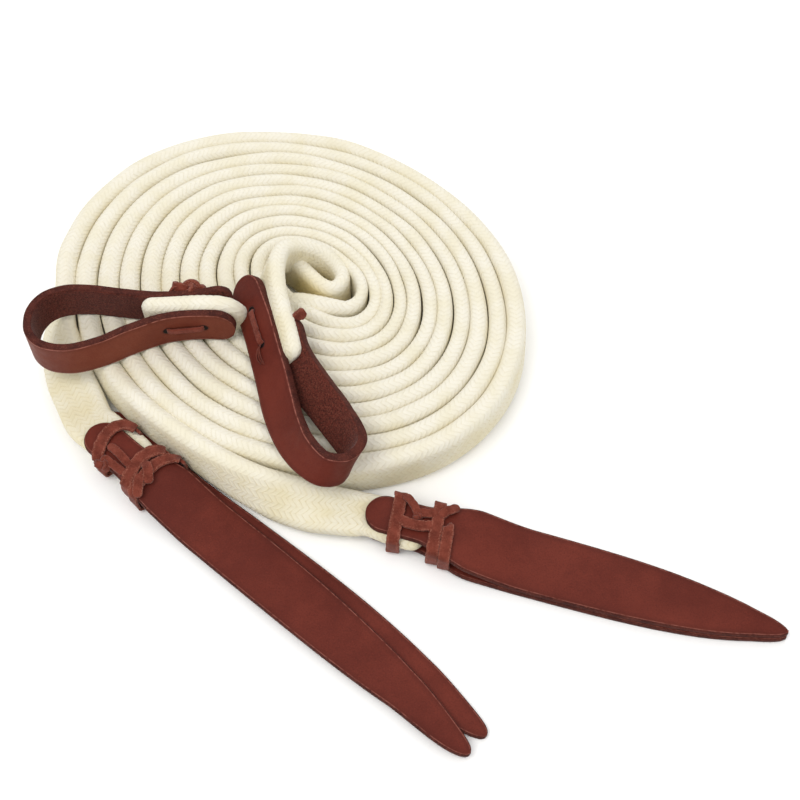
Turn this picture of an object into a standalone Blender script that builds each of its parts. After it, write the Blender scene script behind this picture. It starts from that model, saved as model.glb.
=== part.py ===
"""A pair of braided cotton split reins, laid together and wound into one flat coil.

Each rein is a flat braid that lies on its edge in the coil. Its inner end is held in a folded
leather loop, which takes the bit ring. Its outer end is clamped between the two leather leaves
of a popper by a wrapped lace. Lengths are in metres, +Z is up, and the coil lies on z = 0.
"""

import math

import bmesh
import bpy
import numpy as np
from mathutils import Vector

# Layout: the drawing's own axes start near the middle of the coil's front half.
LAYOUT_CENTRE = (-0.00542, -0.00638)

# The flat cotton braid.
BRAID_WIDTH = 0.027
BRAID_THICK = 0.0078
GAP = 0.0003

# The coil: turn t of the left rein is an ellipse about a drifting centre, slightly skewed.
COIL_CENTRE = ((-0.0472, -0.0021), (0.0672, -0.0017))
COIL_REACH_X = (0.0260, 0.0149, 0.0009)
COIL_REACH_Y = (0.0245, 0.0168, 0.0004)
COIL_SKEW = (-0.0066, -0.0009)
COIL_FIRST_ANGLE = 1630.0
COIL_EDGE = 0.0060
COIL_TOP = 0.0270
COIL_RIM = ((0.0030, 0.0), (0.0, 0.0040), (0.0, COIL_TOP - 0.0050), (0.0040, COIL_TOP))
COIL_STEPS = 72

# Popper leaves: heights of the layers in the laced root, bottom to top.
LEAF_THICK = 0.0030
LACE_WIDTH = 0.0056
LACE_THICK = 0.0016
LACE_LIFT = 0.0006
ROOT_BOTTOM_LEAF_Z = LACE_LIFT + LACE_THICK + GAP
ROOT_BRAID_Z = ROOT_BOTTOM_LEAF_Z + LEAF_THICK + GAP
ROOT_BRAID_THICK = 0.0062
ROOT_BRAID_WIDTH = 0.0236
ROOT_TOP_LEAF_Z = ROOT_BRAID_Z + ROOT_BRAID_THICK + GAP
ROOT_LENGTH = 0.0500
ROOT_HALF_WIDTH = 0.0105
ROOT_SLOPE_LENGTH = 0.0450
TIP_SPAN = 0.0110
BLUNT_REACH = 0.0450
BRAID_IN_POPPER = 0.0490
FAN_PIVOT = -0.0100
SHOULDER = 0.0540
LACE_WRAPS = (0.0440, 0.0365, 0.0170)

# Loop straps.
STRAP_WIDTH = 0.0220
STRAP_THICK = 0.0042
STRAP_REST_Z = COIL_TOP + GAP
HOLE_RADIUS = 0.0021
STITCH_WIDTH = 0.0030
STITCH_THICK = 0.0016

LOOP_BRAID_WIDTH = 0.0212
RIGHT_LOOP_LEAN = math.radians(35)
RIGHT_LOOP_ACROSS = (0.915, 0.403)

# Poppers: side, root end, tip, half width, where the shoulder ends on the left and the right
# edge, sideways belly and how far the lower leaf fans.
LEFT_POPPER = ("left", (-0.1662, -0.0256), (0.0338, -0.2010), 0.0155, (0.100, 0.080), 0.0015, 0.047,
               (0.00605, 0.385, -0.0021))
RIGHT_POPPER = ("right", (-0.0190, -0.0768), (0.1912, -0.1425), 0.0178, (0.078, 0.078), 0.0008, -0.004,
                (0.0059, 0.50, 0.0007))

LEATHER = (0.150, 0.027, 0.018)
LACE_LEATHER = (0.220, 0.055, 0.032)
COTTON = (0.880, 0.820, 0.680)


def at(x, y, z=0.0):
    """A layout point in the object's own frame, whose origin is under the middle of its box."""
    return np.array((x - LAYOUT_CENTRE[0], y - LAYOUT_CENTRE[1], z))


def unit(vector):
    return vector / np.linalg.norm(vector)


def clear_scene():
    for obj in list(bpy.data.objects):
        bpy.data.objects.remove(obj)


def material(name, colour, roughness):
    made = bpy.data.materials.new(name)
    made.use_nodes = True
    shader = made.node_tree.nodes["Principled BSDF"]
    shader.inputs["Base Color"].default_value = (*colour, 1.0)
    shader.inputs["Roughness"].default_value = roughness
    shader.inputs["Metallic"].default_value = 0.0
    return made


def place(name, data, surface, pivot=None):
    """Links an object, and moves its origin to the pivot of the joint it turns about."""
    obj = bpy.data.objects.new(name, data)
    data.materials.append(surface)
    bpy.context.scene.collection.objects.link(obj)
    if pivot is not None:
        offset = tuple(float(value) for value in pivot)
        if obj.type == "MESH":
            for vertex in data.vertices:
                vertex.co = [vertex.co[i] - offset[i] for i in range(3)]
        else:
            for point in data.splines[0].points:
                point.co = (*[point.co[i] - offset[i] for i in range(3)], 1.0)
        obj.location = offset
    return obj


def smooth(points, count):
    """Evenly spaced points on the Catmull-Rom curve through hand-chosen ones."""
    given = np.array(points, float)
    ends = np.vstack((2 * given[0] - given[1], given, 2 * given[-1] - given[-2]))
    fine = []
    for i in range(1, len(ends) - 2):
        a, b, c, d = ends[i - 1], ends[i], ends[i + 1], ends[i + 2]
        for s in np.linspace(0, 1, 24, endpoint=False):
            fine.append(
                0.5 * (2 * b + (c - a) * s + (2 * a - 5 * b + 4 * c - d) * s**2
                       + (3 * b - a - 3 * c + d) * s**3)
            )
    fine.append(ends[-2])
    fine = np.array(fine)
    run = np.concatenate(([0], np.cumsum(np.linalg.norm(np.diff(fine[:, :3], axis=0), axis=1))))
    even = np.linspace(0, run[-1], count)
    return np.stack([np.interp(even, run, fine[:, k]) for k in range(fine.shape[1])], axis=1)


def ring_mesh(name, rings):
    """A closed body through rings of equal size, with a flat face on each end."""
    bm = bmesh.new()
    rows = [[bm.verts.new(tuple(point)) for point in ring] for ring in rings]
    size = len(rows[0])
    for low, high in zip(rows, rows[1:]):
        for i in range(size):
            j = (i + 1) % size
            bm.faces.new((low[i], low[j], high[j], high[i]))
    bm.faces.new(rows[0][::-1])
    bm.faces.new(rows[-1])
    bmesh.ops.recalc_face_normals(bm, faces=bm.faces)
    data = bpy.data.meshes.new(name)
    bm.to_mesh(data)
    bm.free()
    data.shade_smooth()
    data.set_sharp_from_angle(angle=math.radians(35))
    return data


def band(name, points, across, width, thick, scale=None):
    """A flat strip along a path. across is the direction of its width at each point."""
    centre = np.array(points, float)
    tangent = np.gradient(centre, axis=0)
    rings = []
    for i, here in enumerate(centre):
        along = unit(tangent[i])
        out = unit(np.cross(along, across[i]))
        wide = unit(across[i])
        size = 1.0 if scale is None else scale[i]
        half_w, half_t = 0.5 * width * size, 0.5 * thick * size
        cut = 0.25 * thick * size
        outline = (
            (half_w, half_t - cut), (half_w - cut, half_t),
            (cut - half_w, half_t), (-half_w, half_t - cut),
            (-half_w, cut - half_t), (cut - half_w, -half_t),
            (half_w - cut, -half_t), (half_w, cut - half_t),
        )
        rings.append([here + wide * w + out * t for w, t in outline])
    return ring_mesh(name, rings)


def flat_cord(name, points, tilts, surface, pivot=None, width=BRAID_WIDTH, thick=BRAID_THICK):
    """The plain solid of a free stretch of braid. At tilt 0 it stands on its edge."""
    curve = bpy.data.curves.new(name, "CURVE")
    curve.dimensions = "3D"
    curve.twist_mode = "Z_UP"
    curve.bevel_depth = thick / 2
    curve.bevel_resolution = 2
    curve.extrude = (width - thick) / 2
    curve.use_fill_caps = True
    spline = curve.splines.new("POLY")
    spline.points.add(len(points) - 1)
    for point, place_at, tilt in zip(spline.points, points, tilts):
        point.co = (*place_at, 1.0)
        point.tilt = tilt
    return place(name, curve, surface, pivot)


def solid_of(obj):
    """Turns a curve object into a mesh object of the same name, ready for a Boolean."""
    graph = bpy.context.evaluated_depsgraph_get()
    data = bpy.data.meshes.new_from_object(obj.evaluated_get(graph))
    name, where = obj.name, obj.location.copy()
    bpy.data.objects.remove(obj)
    bm = bmesh.new()
    bm.from_mesh(data)
    bmesh.ops.remove_doubles(bm, verts=bm.verts, dist=0.00001)
    bmesh.ops.recalc_face_normals(bm, faces=bm.faces)
    bm.to_mesh(data)
    bm.free()
    made = bpy.data.objects.new(name, data)
    made.location = where
    bpy.context.scene.collection.objects.link(made)
    return made


def cut_holes(obj, centres, direction, length):
    """Round lace holes, cut by pins that stay hidden."""
    turn = Vector((0, 0, 1)).rotation_difference(Vector(direction))
    for i, centre in enumerate(centres):
        bpy.ops.mesh.primitive_cylinder_add(
            vertices=12, radius=HOLE_RADIUS, depth=length, location=tuple(at(*centre))
        )
        pin = bpy.context.active_object
        pin.name = f"{obj.name}_pin_{i}"
        pin.rotation_mode = "QUATERNION"
        pin.rotation_quaternion = turn
        pin.hide_render = True
        pin.display_type = "WIRE"
        cut = obj.modifiers.new(f"hole_{i}", "BOOLEAN")
        cut.object = pin
        cut.operation = "DIFFERENCE"


def coil_point(angle, offset=0.0, turns_in=0.0):
    """A point of the left rein's centre line in the coil. turns_in 0.5 gives the right rein."""
    t = angle / 360 - turns_in
    rad = math.radians(angle)
    centre_x = COIL_CENTRE[0][0] + COIL_CENTRE[0][1] * t
    centre_y = COIL_CENTRE[1][0] + COIL_CENTRE[1][1] * t
    reach_x = COIL_REACH_X[0] + COIL_REACH_X[1] * t + COIL_REACH_X[2] * t * t
    reach_y = COIL_REACH_Y[0] + COIL_REACH_Y[1] * t + COIL_REACH_Y[2] * t * t
    skew = COIL_SKEW[0] + COIL_SKEW[1] * t
    x = reach_x * math.cos(rad) + skew * math.sin(rad)
    y = reach_y * math.sin(rad) + skew * math.cos(rad)
    grow = 1 + offset / math.hypot(x, y)
    return centre_x + x * grow, centre_y + y * grow


def coil(surface):
    """The coil's outer shape: a snail outline with rounded rims, closed over its small hollow."""
    bm = bmesh.new()
    rows = []
    for inset, z in COIL_RIM:
        row = []
        for i in range(COIL_STEPS + 1):
            x, y = coil_point(COIL_FIRST_ANGLE + 360 * i / COIL_STEPS, COIL_EDGE - inset)
            row.append(bm.verts.new(tuple(at(x, y, z))))
        rows.append(row)
    size = COIL_STEPS + 1
    for low, high in zip(rows, rows[1:]):
        for i in range(size):
            j = (i + 1) % size
            bm.faces.new((low[i], low[j], high[j], high[i]))
    bm.faces.new(rows[0][::-1])
    bm.faces.new(rows[-1])
    bmesh.ops.remove_doubles(bm, verts=bm.verts, dist=0.00002)
    bmesh.ops.recalc_face_normals(bm, faces=bm.faces)
    data = bpy.data.meshes.new("rein_coil")
    bm.to_mesh(data)
    bm.free()
    data.shade_smooth()
    data.set_sharp_from_angle(angle=math.radians(35))
    return place("rein_coil", data, surface)


class Popper:
    """One popper's frame: u runs from its root to its tip, v to the left of that, z up."""

    def __init__(self, side, root, tip, half_width, shoulders, belly, fan, blunt):
        self.side = side
        self.root = np.array(root)
        run = np.array(tip) - self.root
        self.length = float(np.linalg.norm(run))
        self.along = run / self.length
        self.left = np.array((-self.along[1], self.along[0]))
        self.half_width = half_width
        self.shoulders = shoulders
        self.belly = belly
        self.fan = fan
        self.blunt = blunt

    def point(self, u, v, z, fan=0.0):
        reach = u - FAN_PIVOT
        turned_u = FAN_PIVOT + reach * math.cos(fan) - v * math.sin(fan)
        turned_v = reach * math.sin(fan) + v * math.cos(fan)
        x, y = self.root + self.along * turned_u + self.left * turned_v
        return at(x, y, z)

    def half(self, u, edge):
        """From mid line to edge 0 or 1: a round root, a shoulder past the lace, a long point."""
        if u < ROOT_HALF_WIDTH:
            return math.sqrt(max(ROOT_HALF_WIDTH**2 - (ROOT_HALF_WIDTH - u) ** 2, 1e-7))
        rise = min(max((u - SHOULDER) / (self.shoulders[edge] - SHOULDER), 0.0), 1.0)
        shoulder = ROOT_HALF_WIDTH + (self.half_width - ROOT_HALF_WIDTH) * (3 - 2 * rise) * rise**2
        far = min(max((u / self.length - 0.30) / 0.70, 0.0), 1.0)
        size, power, _ = self.blunt
        left_over = max(self.length - u, 0.0)
        tip = size * (left_over / TIP_SPAN) ** power if left_over < BLUNT_REACH else 0.0
        return max(shoulder * (1 - far**3.2) ** 0.75, tip, 0.0010)

    def shift(self, u):
        past = min(max(u - ROOT_LENGTH, 0.0) / (self.length - ROOT_LENGTH), 1.0)
        near = min(max((u - self.length + 0.045) / 0.039, 0.0), 1.0)
        return self.belly * math.sin(math.pi * past) + self.blunt[2] * (3 - 2 * near) * near * near

    def drop(self, u, at_root, at_blade):
        """Height of a leaf's lower face: level in the root, then easing down to the blade."""
        s = min(max((u - ROOT_LENGTH) / ROOT_SLOPE_LENGTH, 0.0), 1.0)
        return at_root + (at_blade - at_root) * (3 - 2 * s) * s * s


def leaf(popper, name, surface, start, stop, at_root, at_blade, fan, pivot):
    """A leaf, or a stretch of one, as a plate whose width and height follow its length."""
    round_end = [ROOT_HALF_WIDTH * (1 - math.cos(a)) for a in np.linspace(0.12, math.pi / 2, 7)]
    blade = list(np.linspace(ROOT_HALF_WIDTH + 0.004, popper.length - TIP_SPAN, 36))
    blade += [popper.length - d for d in (0.0070, 0.0040, 0.0020, 0.0008, 0.0)]
    stations = [u for u in round_end + blade if start < u < stop]
    if start > 0:
        stations = [start] + stations
    stations = stations + [stop]
    rings = []
    for u in stations:
        low = popper.drop(u, at_root, at_blade)
        left, right, mid = popper.half(u, 0), -popper.half(u, 1), popper.shift(u)
        cut = min(0.0005, 0.4 * left)
        outline = (
            (right + cut, low), (left - cut, low), (left, low + 0.0005),
            (left, low + LEAF_THICK - 0.0005), (left - cut, low + LEAF_THICK),
            (right + cut, low + LEAF_THICK), (right, low + LEAF_THICK - 0.0005),
            (right, low + 0.0005),
        )
        rings.append([popper.point(u, mid + v, z, fan) for v, z in outline])
    return place(name, ring_mesh(name, rings), surface, pivot)


def popper_lace(popper, surface, pivot):
    """One lace: a short run along the root, then three wraps round leaves and braid."""
    low = LACE_LIFT + LACE_THICK / 2
    top = ROOT_TOP_LEAF_Z + LEAF_THICK + GAP + LACE_THICK / 2
    over = top + LACE_THICK + GAP
    side = ROOT_BRAID_WIDTH / 2 + 0.0029
    turn = 0.0022
    half_turn = (
        (side - turn, top, 0.0), (side - 0.0006, top - 0.0006, 0.4), (side, top - turn, 1.0),
        (side, low + turn, 1.0), (side - 0.0006, low + 0.0006, 0.6), (side - turn, low, 0.0),
    )
    first, second, third = LACE_WRAPS
    path = [(0.0215, -0.0035, top), (0.030, -0.0035, top), (first + 0.0035, -0.0035, top)]
    path.append((first + 0.0058, -0.0015, top))
    path.append((first + 0.0062, 0.0030, top))
    path += [(first + 0.0062, v, z) for v, z, _ in half_turn]
    bottom_runs = ((first + 0.0062, first), (first, second), (second, third))
    for before, after in bottom_runs:
        middle = 0.5 * (before + after)
        path.append((middle, 0.0, low))
        path += [(after, -v, z) for v, z, _ in half_turn[::-1]]
        path += [(after, -0.0076, over - 0.0003), (after, -0.0035, over)]
        path += [(after, 0.0006, over - 0.0003), (after, 0.0045, top + 0.0002)]
        if after != third:
            path += [(after, v, z) for v, z, _ in half_turn]
        else:
            path += [(after, v, z) for v, z, _ in half_turn[:4]]
    points, across = [], []
    fine = smooth(path, 180)
    core = side - 0.0060
    for (u, v, z), along in zip(fine, np.gradient(fine, axis=0)):
        out = np.array((0.0, v - min(max(v, -core), core), z - 0.5 * (low + top)))
        wide = np.cross(along, out)
        here = popper.point(u, v, z)
        points.append(here)
        across.append(popper.point(u + wide[0], v + wide[1], z + wide[2]) - here)
    name = f"{popper.side}_popper_lace"
    data = band(name, points, across, LACE_WIDTH, LACE_THICK)
    return place(name, data, surface, pivot)


def popper(shape, leather, lace, cotton):
    """The popper turns about its root's top edge. Its upper leaf peels up past the lace."""
    root_z = ROOT_TOP_LEAF_Z + LEAF_THICK
    lift = shape.point(0.0, 0.0, root_z)
    peel = shape.point(ROOT_LENGTH + 0.006, 0.0, root_z)
    side = shape.side
    split = ROOT_LENGTH + 0.006
    leaf(shape, f"{side}_popper_bottom_leaf", leather, 0.0, shape.length,
         ROOT_BOTTOM_LEAF_Z, 0.0, shape.fan, lift)
    leaf(shape, f"{side}_popper_top_leaf_root", leather, 0.0, split,
         ROOT_TOP_LEAF_Z, LEAF_THICK + GAP, 0.0, lift)
    leaf(shape, f"{side}_popper_top_leaf_blade", leather, split + GAP, shape.length,
         ROOT_TOP_LEAF_Z, LEAF_THICK + GAP, 0.0, peel)
    popper_lace(shape, lace, lift)
    mid_z = ROOT_BRAID_Z + ROOT_BRAID_THICK / 2
    points = [shape.point(u, 0.0, mid_z) for u in np.linspace(0.0012, BRAID_IN_POPPER, 6)]
    flat_cord(f"{side}_rein_popper_end", points, [math.pi / 2] * 6, cotton, lift,
              width=ROOT_BRAID_WIDTH, thick=ROOT_BRAID_THICK)


def loop_strap(side, route, leather, pivot, holes, direction):
    """A strap folded into a loop. The route gives its lower edge and how far its top leans."""
    path = smooth(route, 64)
    points, across = [], []
    for x, y, lean_x, lean_y in path:
        rise = math.sqrt(max(1 - lean_x**2 - lean_y**2, 0.1))
        wide = np.array((lean_x, lean_y, rise))
        rest_z = STRAP_REST_Z + math.hypot(lean_x, lean_y) * STRAP_THICK / 2
        points.append(at(x, y, rest_z) + wide * STRAP_WIDTH / 2)
        across.append(wide)
    name = f"{side}_loop_strap"
    strap = place(name, band(name, points, across, STRAP_WIDTH, STRAP_THICK), leather, pivot)
    cut_holes(strap, holes, direction, 0.060)
    return strap


def loop_braid(side, route, cotton, pivot, holes, direction, width):
    fine = smooth(route, 12)
    points = [at(x, y, z) for x, y, z, _ in fine]
    made = flat_cord(f"{side}_rein_loop_end", points, [row[3] for row in fine], cotton, pivot,
                     width=width)
    made = solid_of(made)
    cut_holes(made, holes, direction, 0.060)


def loop_lace(side, path, across, sizes, lace, pivot):
    """A thong that stitches strap, braid and strap together, with its knot on the back."""
    name = f"{side}_loop_lace"
    fine = smooth([(*at(*p), *a, s) for p, a, s in zip(path, across, sizes)], 80)
    data = band(name, fine[:, :3], fine[:, 3:6], STITCH_WIDTH, STITCH_THICK, fine[:, 6])
    return place(name, data, lace, pivot)


def left_loop(leather, lace, cotton):
    """The loop that stands on the coil's left, and lifts about its root's top edge."""
    pivot = at(-0.0890, 0.0303, STRAP_REST_Z + STRAP_WIDTH)
    middle_z = STRAP_REST_Z + STRAP_WIDTH / 2
    holes = [(-0.1270, 0.0300, middle_z), (-0.1070, 0.0300, middle_z)]
    route = [(x, y, 0.0, 0.0) for x, y in (
        (-0.0895, 0.0228), (-0.1080, 0.0238), (-0.1270, 0.0215), (-0.1450, 0.0140),
        (-0.1600, 0.0058), (-0.1760, 0.0008), (-0.1900, 0.0030), (-0.1985, 0.0120),
        (-0.1998, 0.0250), (-0.1945, 0.0355), (-0.1840, 0.0410), (-0.1700, 0.0420),
        (-0.1500, 0.0396), (-0.1250, 0.0374), (-0.0980, 0.0380),
    )]
    loop_strap("left", route, leather, pivot, holes, (0, 1, 0))
    braid = [(x, y, middle_z, 0.0) for x, y in (
        (-0.1385, 0.0293), (-0.1200, 0.0303), (-0.1030, 0.0305), (-0.0893, 0.0303),
    )]
    loop_braid("left", braid, cotton, pivot, holes, (0, 1, 0), LOOP_BRAID_WIDTH)
    path = (
        (-0.0930, 0.0430, 0.0455), (-0.1000, 0.0436, 0.0440), (-0.1055, 0.0428, 0.0400),
        (-0.1070, 0.0405, 0.0383), (-0.1070, 0.0300, 0.0383), (-0.1070, 0.0222, 0.0383),
        (-0.1088, 0.0202, 0.0383), (-0.1170, 0.0194, 0.0383), (-0.1252, 0.0178, 0.0383),
        (-0.1270, 0.0196, 0.0383), (-0.1270, 0.0300, 0.0383), (-0.1270, 0.0405, 0.0383),
        (-0.1255, 0.0432, 0.0400), (-0.1210, 0.0448, 0.0430), (-0.1160, 0.0455, 0.0455),
    )
    sizes = [1.2] + [1.0] * 12 + [2.2, 2.0]
    loop_lace("left", path, [(0, 0, 1)] * len(path), sizes, lace, pivot)


def right_loop(leather, lace, cotton):
    """The loop that leans over on the coil's front, and lifts about its root's top edge."""
    pivot = at(-0.0722, 0.0695, STRAP_REST_Z + STRAP_WIDTH)
    lean = math.sin(RIGHT_LOOP_LEAN)
    run = RIGHT_LOOP_ACROSS
    level = STRAP_REST_Z + 0.5 * STRAP_WIDTH * math.cos(RIGHT_LOOP_LEAN) + 0.0012
    upright = (lean * run[0], lean * run[1], math.cos(RIGHT_LOOP_LEAN))
    holes = [(-0.0743, 0.0382, level), (-0.0672, 0.0142, level)]
    edge = (
        (-0.0918, 0.0520, 1.0), (-0.0887, 0.0390, 1.0), (-0.0846, 0.0220, 1.0),
        (-0.0797, 0.0045, 1.0), (-0.0748, -0.0140, 1.05), (-0.0703, -0.0320, 1.05),
        (-0.0645, -0.0465, 0.95), (-0.0555, -0.0595, 0.75), (-0.0430, -0.0690, 0.60),
        (-0.0310, -0.0680, 0.55), (-0.0262, -0.0570, 0.65), (-0.0365, -0.0400, 0.90),
        (-0.0495, -0.0200, 1.0), (-0.0600, -0.0015, 1.0), (-0.0648, 0.0140, 1.0),
        (-0.0696, 0.0300, 1.0), (-0.0736, 0.0450, 1.0),
    )
    route = [(x, y, s * lean * run[0], s * lean * run[1]) for x, y, s in edge]
    direction = (run[0], run[1], 0.0)
    loop_strap("right", route, leather, pivot, holes, direction)
    tilt = -RIGHT_LOOP_LEAN
    braid = (
        (-0.0735, 0.0680, level, tilt), (-0.0763, 0.0515, level, tilt),
        (-0.0725, 0.0325, level, tilt), (-0.0674, 0.0145, level, tilt),
        (-0.0640, 0.0025, level, tilt), (-0.0605, -0.0090, level, tilt),
    )
    loop_braid("right", braid, cotton, pivot, holes, direction, LOOP_BRAID_WIDTH)
    path = (
        (-0.0528, 0.0281, 0.0444), (-0.0549, 0.0315, 0.0431), (-0.0590, 0.0385, 0.0400),
        (-0.0618, 0.0426, 0.0379), (-0.0634, 0.0430, level), (-0.0665, 0.0416, level),
        (-0.0743, 0.0382, level), (-0.0815, 0.0351, level), (-0.0847, 0.0337, level),
        (-0.0848, 0.0310, level), (-0.0826, 0.0222, level), (-0.0795, 0.0118, level),
        (-0.0785, 0.0092, level), (-0.0753, 0.0106, level), (-0.0672, 0.0142, level),
        (-0.0594, 0.0176, level), (-0.0566, 0.0189, level), (-0.0557, 0.0193, level),
        (-0.0530, 0.0205, level),
    )
    sizes = [1.4, 1.2] + [1.0] * 15 + [2.0, 1.9]
    loop_lace("right", path, [upright] * len(path), sizes, lace, pivot)


def tails(cotton):
    """Each rein leaves the coil on its edge and lies down flat as it nears its popper."""
    flat_z = ROOT_BRAID_Z + BRAID_THICK / 2 - 0.0008
    left_route = (
        (-0.1912, 0.0455, 0.0137, -0.15), (-0.1912, 0.0310, 0.0133, -0.35),
        (-0.1850, 0.0115, 0.0120, -0.80), (-0.1762, -0.0060, 0.0085, -1.30),
        (-0.1682, -0.0222, flat_z, -1.571),
    )
    right_route = (
        (-0.1778, 0.0480, 0.0137, -0.05), (-0.1735, 0.0300, 0.0137, -0.08),
        (-0.1625, 0.0080, 0.0137, -0.10), (-0.1465, -0.0140, 0.0137, -0.10),
        (-0.1248, -0.0338, 0.0137, -0.08), (-0.0985, -0.0525, 0.0137, -0.15),
        (-0.0730, -0.0655, 0.0131, -0.45), (-0.0510, -0.0725, 0.0108, -1.05),
        (-0.0370, -0.0750, 0.0093, -1.45), (-0.0240, -0.0774, flat_z, -1.571),
    )
    for side, route, count in (("left", left_route, 10), ("right", right_route, 26)):
        fine = smooth(route, count)
        points = [at(x, y, z) for x, y, z, _ in fine]
        flat_cord(f"{side}_rein_tail", points, [row[3] for row in fine], cotton)


def main():
    clear_scene()
    leather = material("leather", LEATHER, 0.45)
    lace = material("lace_leather", LACE_LEATHER, 0.75)
    cotton = material("cotton", COTTON, 0.90)
    coil(cotton)
    left_loop(leather, lace, cotton)
    right_loop(leather, lace, cotton)
    tails(cotton)
    for shape in (LEFT_POPPER, RIGHT_POPPER):
        popper(Popper(*shape), leather, lace, cotton)


main()
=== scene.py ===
"""A pair of braided cotton split reins with leather bit loops and poppers, coiled on a floor.

Lengths are in metres. Route points are in the layout's axes, as in the CAD source, and at()
moves them into the frame.
"""

import math

import bpy
import numpy as np
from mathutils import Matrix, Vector


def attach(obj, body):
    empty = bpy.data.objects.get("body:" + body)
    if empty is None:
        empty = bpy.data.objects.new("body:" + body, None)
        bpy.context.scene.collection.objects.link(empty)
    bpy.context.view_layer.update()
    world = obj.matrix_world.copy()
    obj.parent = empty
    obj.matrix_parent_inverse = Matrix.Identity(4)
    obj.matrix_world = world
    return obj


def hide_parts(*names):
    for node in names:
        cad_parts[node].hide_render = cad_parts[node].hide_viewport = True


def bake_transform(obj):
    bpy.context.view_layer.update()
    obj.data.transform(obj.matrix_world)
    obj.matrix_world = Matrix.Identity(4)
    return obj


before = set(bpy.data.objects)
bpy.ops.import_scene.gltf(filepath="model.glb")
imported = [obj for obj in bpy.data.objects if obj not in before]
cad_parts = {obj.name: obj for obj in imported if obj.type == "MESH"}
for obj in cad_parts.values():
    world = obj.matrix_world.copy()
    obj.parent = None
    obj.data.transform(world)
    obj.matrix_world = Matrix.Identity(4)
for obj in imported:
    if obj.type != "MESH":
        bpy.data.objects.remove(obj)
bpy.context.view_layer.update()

LAYOUT_CENTRE = (-0.00542, -0.00638)

# The braid.
BRAID_WIDTH = 0.0270
PLAIT_PITCH = 0.0032
RING_STEP = PLAIT_PITCH / 3
COLUMNS = 18
GIRTH_POINTS = 2 * COLUMNS
PLAIT_HEIGHT = 0.00023

# The coil, as in the CAD source. Each turn's centre, reach and skew are polynomials in the turn.
COIL_CENTRE = ((-0.0472, -0.0021), (0.0672, -0.0017))
COIL_REACH_X = (0.0260, 0.0149, 0.0009)
COIL_REACH_Y = (0.0245, 0.0168, 0.0004)
COIL_SKEW = (-0.0066, -0.0009)
COIL_LAST_ANGLE = 1985.0
COIL_STEP = 10.0
INNER_PULL = 0.0024
PAIR_SHIFT = 0.0004
PAIR_GAP = 0.0007
STRAND_THICK = (0.0066, 0.0124)
HOLLOW = (-0.0440, 0.0700, 0.0070)
HOLLOW_REACH = (0.012, 0.024)

# Leaves, laces and straps, as in the CAD source.
LEAF_THICK = 0.0030
LACE_THICK = 0.0016
LACE_LIFT = 0.0006
GAP = 0.0003
ROOT_BOTTOM_LEAF_Z = LACE_LIFT + LACE_THICK + GAP
ROOT_BRAID_Z = ROOT_BOTTOM_LEAF_Z + LEAF_THICK + GAP
ROOT_BRAID_THICK = 0.0062
ROOT_TOP_LEAF_Z = ROOT_BRAID_Z + ROOT_BRAID_THICK + GAP
ROOT_LENGTH = 0.0500
ROOT_HALF_WIDTH = 0.0105
FAN_PIVOT = -0.0100
LEAF_RISE = (0.0300, 0.0620)
LEAF_SLOPE = (0.0400, 0.0900)
TIP_SPAN = 0.0110
TIP_LEAN = (0.0450, 0.0060)
BLUNT_REACH = 0.0450
# Side, root, tip, half width, the tip's (half width, power, lean), belly and lower leaf's fan.
LEFT_POPPER = ("left", (-0.1662, -0.0256), (0.0338, -0.2010), 0.0155,
               (0.00605, 0.385, -0.0021), 0.0015, 0.047)
RIGHT_POPPER = ("right", (-0.0190, -0.0768), (0.1912, -0.1425), 0.0178,
                (0.0059, 0.50, 0.0007), 0.0008, -0.004)
# The lower leaf's root sits beside the upper one's by the first value and starts past it by the
# second. The upper leaf's root moves and starts by the last two.
ROOT_SHIFTS = {"left": (0.0082, -0.0060, -0.0020, 0.0017), "right": (0.0, 0.0, 0.0, 0.0017)}

STRAP_WIDTH = 0.0220
STRAP_THICK = 0.0042
STRAP_REST_Z = 0.0273
STRAP_END = 0.0110
STRAP_CORNER = 0.0009
LEFT_STRAP_THICK = 0.0046
RIGHT_STRAP_THICK = 0.0053
RIGHT_LOOP_LEAN = math.radians(35)
RIGHT_LOOP_ACROSS = (0.915, 0.403)
LEFT_HOLES = (0.0175, 0.0375)
RIGHT_HOLES = (0.0235, 0.0470)


LENS, SENSOR = 56.25, 36.0
CAMERA_ELEVATION = math.radians(56)
CAMERA_DISTANCE = 0.700
FLOOR_HALF = 6.0
FLOOR_DROP = 0.0002


# ---------------------------------------------------------------- shapes


def at(x, y, z=0.0):
    return np.array((x - LAYOUT_CENTRE[0], y - LAYOUT_CENTRE[1], z))


def unit(vectors):
    return vectors / np.linalg.norm(vectors, axis=-1, keepdims=True)


def ease(x, low, high):
    s = np.clip((np.asarray(x, float) - low) / (high - low), 0, 1)
    return s * s * (3 - 2 * s)


def wobble(run, seed, wavelength, octaves=3):
    """A smooth seeded waver along a length, about -1 to 1."""
    rng = np.random.default_rng(seed)
    total = np.zeros_like(np.asarray(run, float))
    for k in range(octaves):
        for _ in range(3):
            length = wavelength / 1.9**k * rng.uniform(0.7, 1.4)
            total += np.sin(2 * math.pi * (run / length + rng.uniform())) * 0.4 / 1.6**k
    return total


def arc_length(centre):
    steps = np.linalg.norm(np.diff(centre, axis=0), axis=1)
    return np.concatenate(([0], np.cumsum(steps)))


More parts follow.
